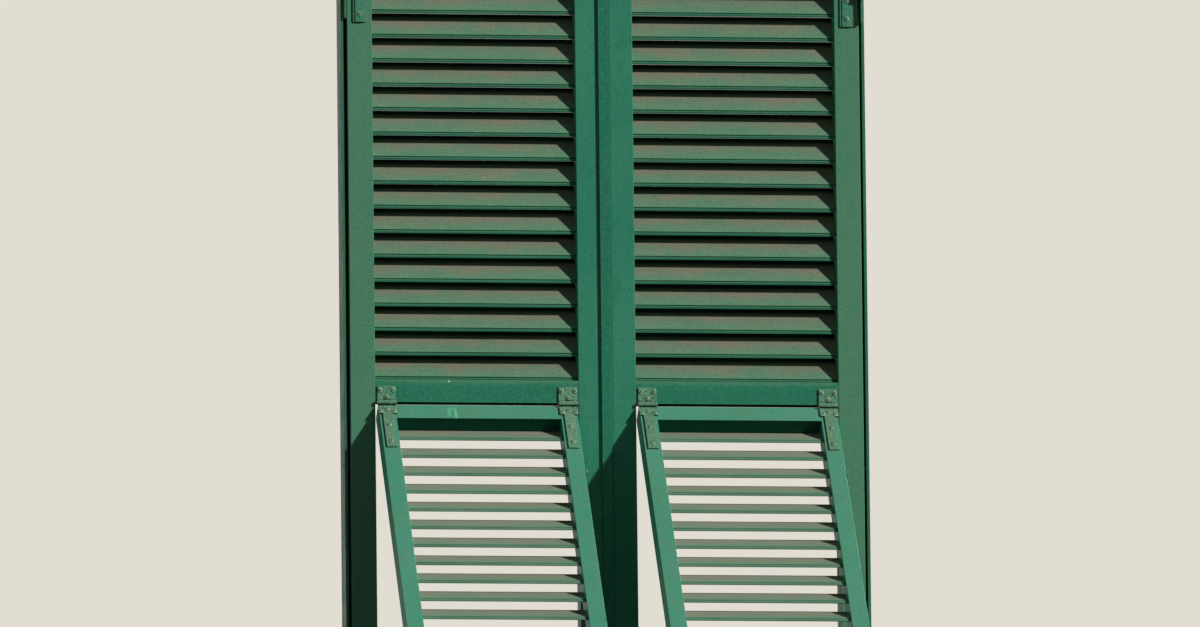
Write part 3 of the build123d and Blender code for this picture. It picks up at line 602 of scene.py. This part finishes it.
def makeFixings():
    # screws for every plate: each spot is the plate's middle plus an offset in the plate's own
    # plane, and the left side mirrors the right one
    fix, seeds = fixingSet, screwSeeds
    painted, bare = ("hinge_paint", "screw"), ("bare_steel", "steel")
    out, inwards = (0, -1, 0), (0, 1, 0)
    radius, small = fix["radius"], fix["smallRadius"]
    for one, (side, sign) in enumerate((("left", -1), ("right", 1))):
        leaf, flap = f"{side}_leaf", f"{side}_flap"
        middles = [sign * hingeMiddle for hingeMiddle in fix["hingeMiddles"]]
        plates = [((x + dx, railFace - fix["plateFace"], hingeAxis.z + up), out)
                  for x in middles for dx, up in fix["plateSpots"]]
        strips = [((sign * fix["stripMiddle"], fix["stripFace"], height + up), out)
                  for height in fix["pivotHeights"] for up in fix["stripSpots"]]
        makeScrews(f"{side}PlateScrews", leaf, plates + strips, *painted, radius,
                   seeds["plate"] + one)
        straps = [(hingeAxis + Vector((x + dx, 0, 0)) + flapIn * fix["strapFace"] + flapUp * up,
                   -flapIn)
                  for x in middles for dx, up in fix["strapSpots"]]
        makeScrews(f"{side}StrapScrews", flap, straps, *painted, radius, seeds["strap"] + one)
        edges = [((sign * fix["edgeFace"], depth, height), (sign, 0, 0))
                 for depth, height in fix["edgeSpots"]]
        makeScrews(f"{side}EdgeScrews", leaf, edges, *bare, small, seeds["edge"] + one)
        brackets = [((sign * fix["bracketFace"], depth, height + up), (-sign, 0, 0))
                    for height in fix["pivotHeights"] for depth, up in fix["bracketSpots"]]
        makeScrews(f"{side}BracketScrews", "frame", brackets, *painted, small,
                   seeds["bracket"] + one)
        jambs = [((sign * fix["jambFace"], fix["jambDepth"], height), (-sign, 0, 0))
                 for height in fix["jambHeights"]]
        makeScrews(f"{side}JambScrews", "frame", jambs, *bare, fix["jambRadius"],
                   seeds["jamb"] + one)
    guides = [((fix["guideMiddle"] + way * fix["guideSpread"], fix["guideFace"], height), inwards)
              for height in fix["guideHeights"] for way in (-1, 1)]
    makeScrews("guideScrews", "right_leaf", guides, *bare, small, seeds["guide"])
    keeps = [((fix["guideMiddle"] + way * fix["keepSpread"], fix["keepDepth"], height),
              (0, 0, up))
             for height, up in zip(fix["keepHeights"], (1, -1)) for way in (-1, 1)]
    makeScrews("keepScrews", "frame", keeps, *bare, small, seeds["keep"])
    rests = [((-fix["guideMiddle"] + way * fix["restSpread"], fix["guideFace"],
               fix["restHeight"]), inwards)
             for way in (-1, 1)]
    makeScrews("handleRestScrews", "left_leaf", rests, *bare, small, seeds["rest"])


makeFixings()
print("screws made")


# Floor, lamps and the pale background
stageSet = {
    "floorHeight": -1.6, "floorSize": 160.0,
    "floorColour": (0.62, 0.60, 0.56, 1.0), "floorLift": (0.25, 0.235, 0.21, 1.0),
    "floorBounce": (0.07, 0.07, 0.07, 1.0),    # what the object gets back from the floor
    "backdrop": (0.76, 0.72, 0.645, 1.0), "worldLight": 0.072, "softColour": (0.8, 0.95, 1.0, 1.0),
}
lampSet = {
    "sunLamp": {"from": (10.0, -7.3, 5.65), "angle": radians(2.5), "power": 4.3,
                "colour": (1.0, 0.975, 0.93)},
    "fillLamp": {"from": (-9.0, -8.0, 1.5), "angle": radians(45.0), "power": 0.15,
                 "colour": (0.93, 0.96, 1.0)},
    "rearLamp": {"from": (6.0, 9.0, 3.2), "angle": radians(35.0), "power": 1.9,
                 "colour": (1.0, 0.98, 0.95)},
}


def seenDirectly(tree):
    # 1 for rays from the camera, from reflections and through glass, which show the pale stage
    seen = addNode(tree, "LightPath").outputs
    through = sums(tree, "MAXIMUM", seen["Is Glossy Ray"], seen["Is Transmission Ray"])
    return sums(tree, "MAXIMUM", seen["Is Camera Ray"], through)


def makeFloor():
    # a flat pale floor that keeps the shadow, lifted to the backdrop's colour; it is clear from
    # below, where the camera is
    half, height = stageSet["floorSize"] / 2, stageSet["floorHeight"]
    corners = [(-half, -half, height), (half, -half, height), (half, half, height),
               (-half, half, height)]
    mesh = bpy.data.meshes.new("paleFloor")
    mesh.from_pydata(corners, [], [(0, 1, 2, 3)])
    floor = bpy.data.objects.new("paleFloor", mesh)
    bpy.context.scene.collection.objects.link(floor)
    material, tree, shader = startMaterial("paleFloor")
    shader.inputs["Base Color"].default_value = stageSet["floorColour"]
    shader.inputs["Roughness"].default_value = 1.0
    shader.inputs["Specular IOR Level"].default_value = 0.0
    shader.inputs["Emission Color"].default_value = stageSet["floorLift"]
    shader.inputs["Emission Strength"].default_value = 1.0
    dim = addNode(tree, "BsdfDiffuse", {"Color": stageSet["floorBounce"]}).outputs[0]
    shown = addNode(tree, "MixShader", {0: seenDirectly(tree), 1: dim, 2: shader.outputs[0]})
    clear = addNode(tree, "BsdfTransparent").outputs[0]
    under = addNode(tree, "NewGeometry").outputs["Backfacing"]
    blend = addNode(tree, "MixShader", {0: under, 1: shown.outputs[0], 2: clear})
    tree.links.new(blend.outputs[0], tree.nodes["Material Output"].inputs["Surface"])
    mesh.materials.append(material)


def makeLamp(name, lamp):
    # a far lamp whose light is the same everywhere; its angle softens the shadows
    light = bpy.data.lights.new(name, "SUN")
    light.energy, light.color, light.angle = lamp["power"], lamp["colour"], lamp["angle"]
    holder = bpy.data.objects.new(name, light)
    holder.location = lamp["from"]
    holder.rotation_euler = (-Vector(lamp["from"])).to_track_quat("-Z", "Y").to_euler()
    bpy.context.scene.collection.objects.link(holder)


def makeWorld():
    # soft light from everywhere, behind which the pale backdrop is seen
    world = bpy.data.worlds.new("studio")
    world.use_nodes = True
    tree = world.node_tree
    tree.nodes.clear()
    soft = addNode(tree, "Background", {"Color": stageSet["softColour"],
                                        "Strength": stageSet["worldLight"]}).outputs[0]
    shown = addNode(tree, "Background", {"Color": stageSet["backdrop"],
                                         "Strength": 1.0}).outputs[0]
    blend = addNode(tree, "MixShader", {0: seenDirectly(tree), 1: soft, 2: shown}).outputs[0]
    addNode(tree, "OutputWorld", {"Surface": blend})
    bpy.context.scene.world = world


makeFloor()
for lampName, lamp in lampSet.items():
    makeLamp(lampName, lamp)
makeWorld()
bpy.context.scene.view_settings.view_transform = "Standard"
print("stage ready")
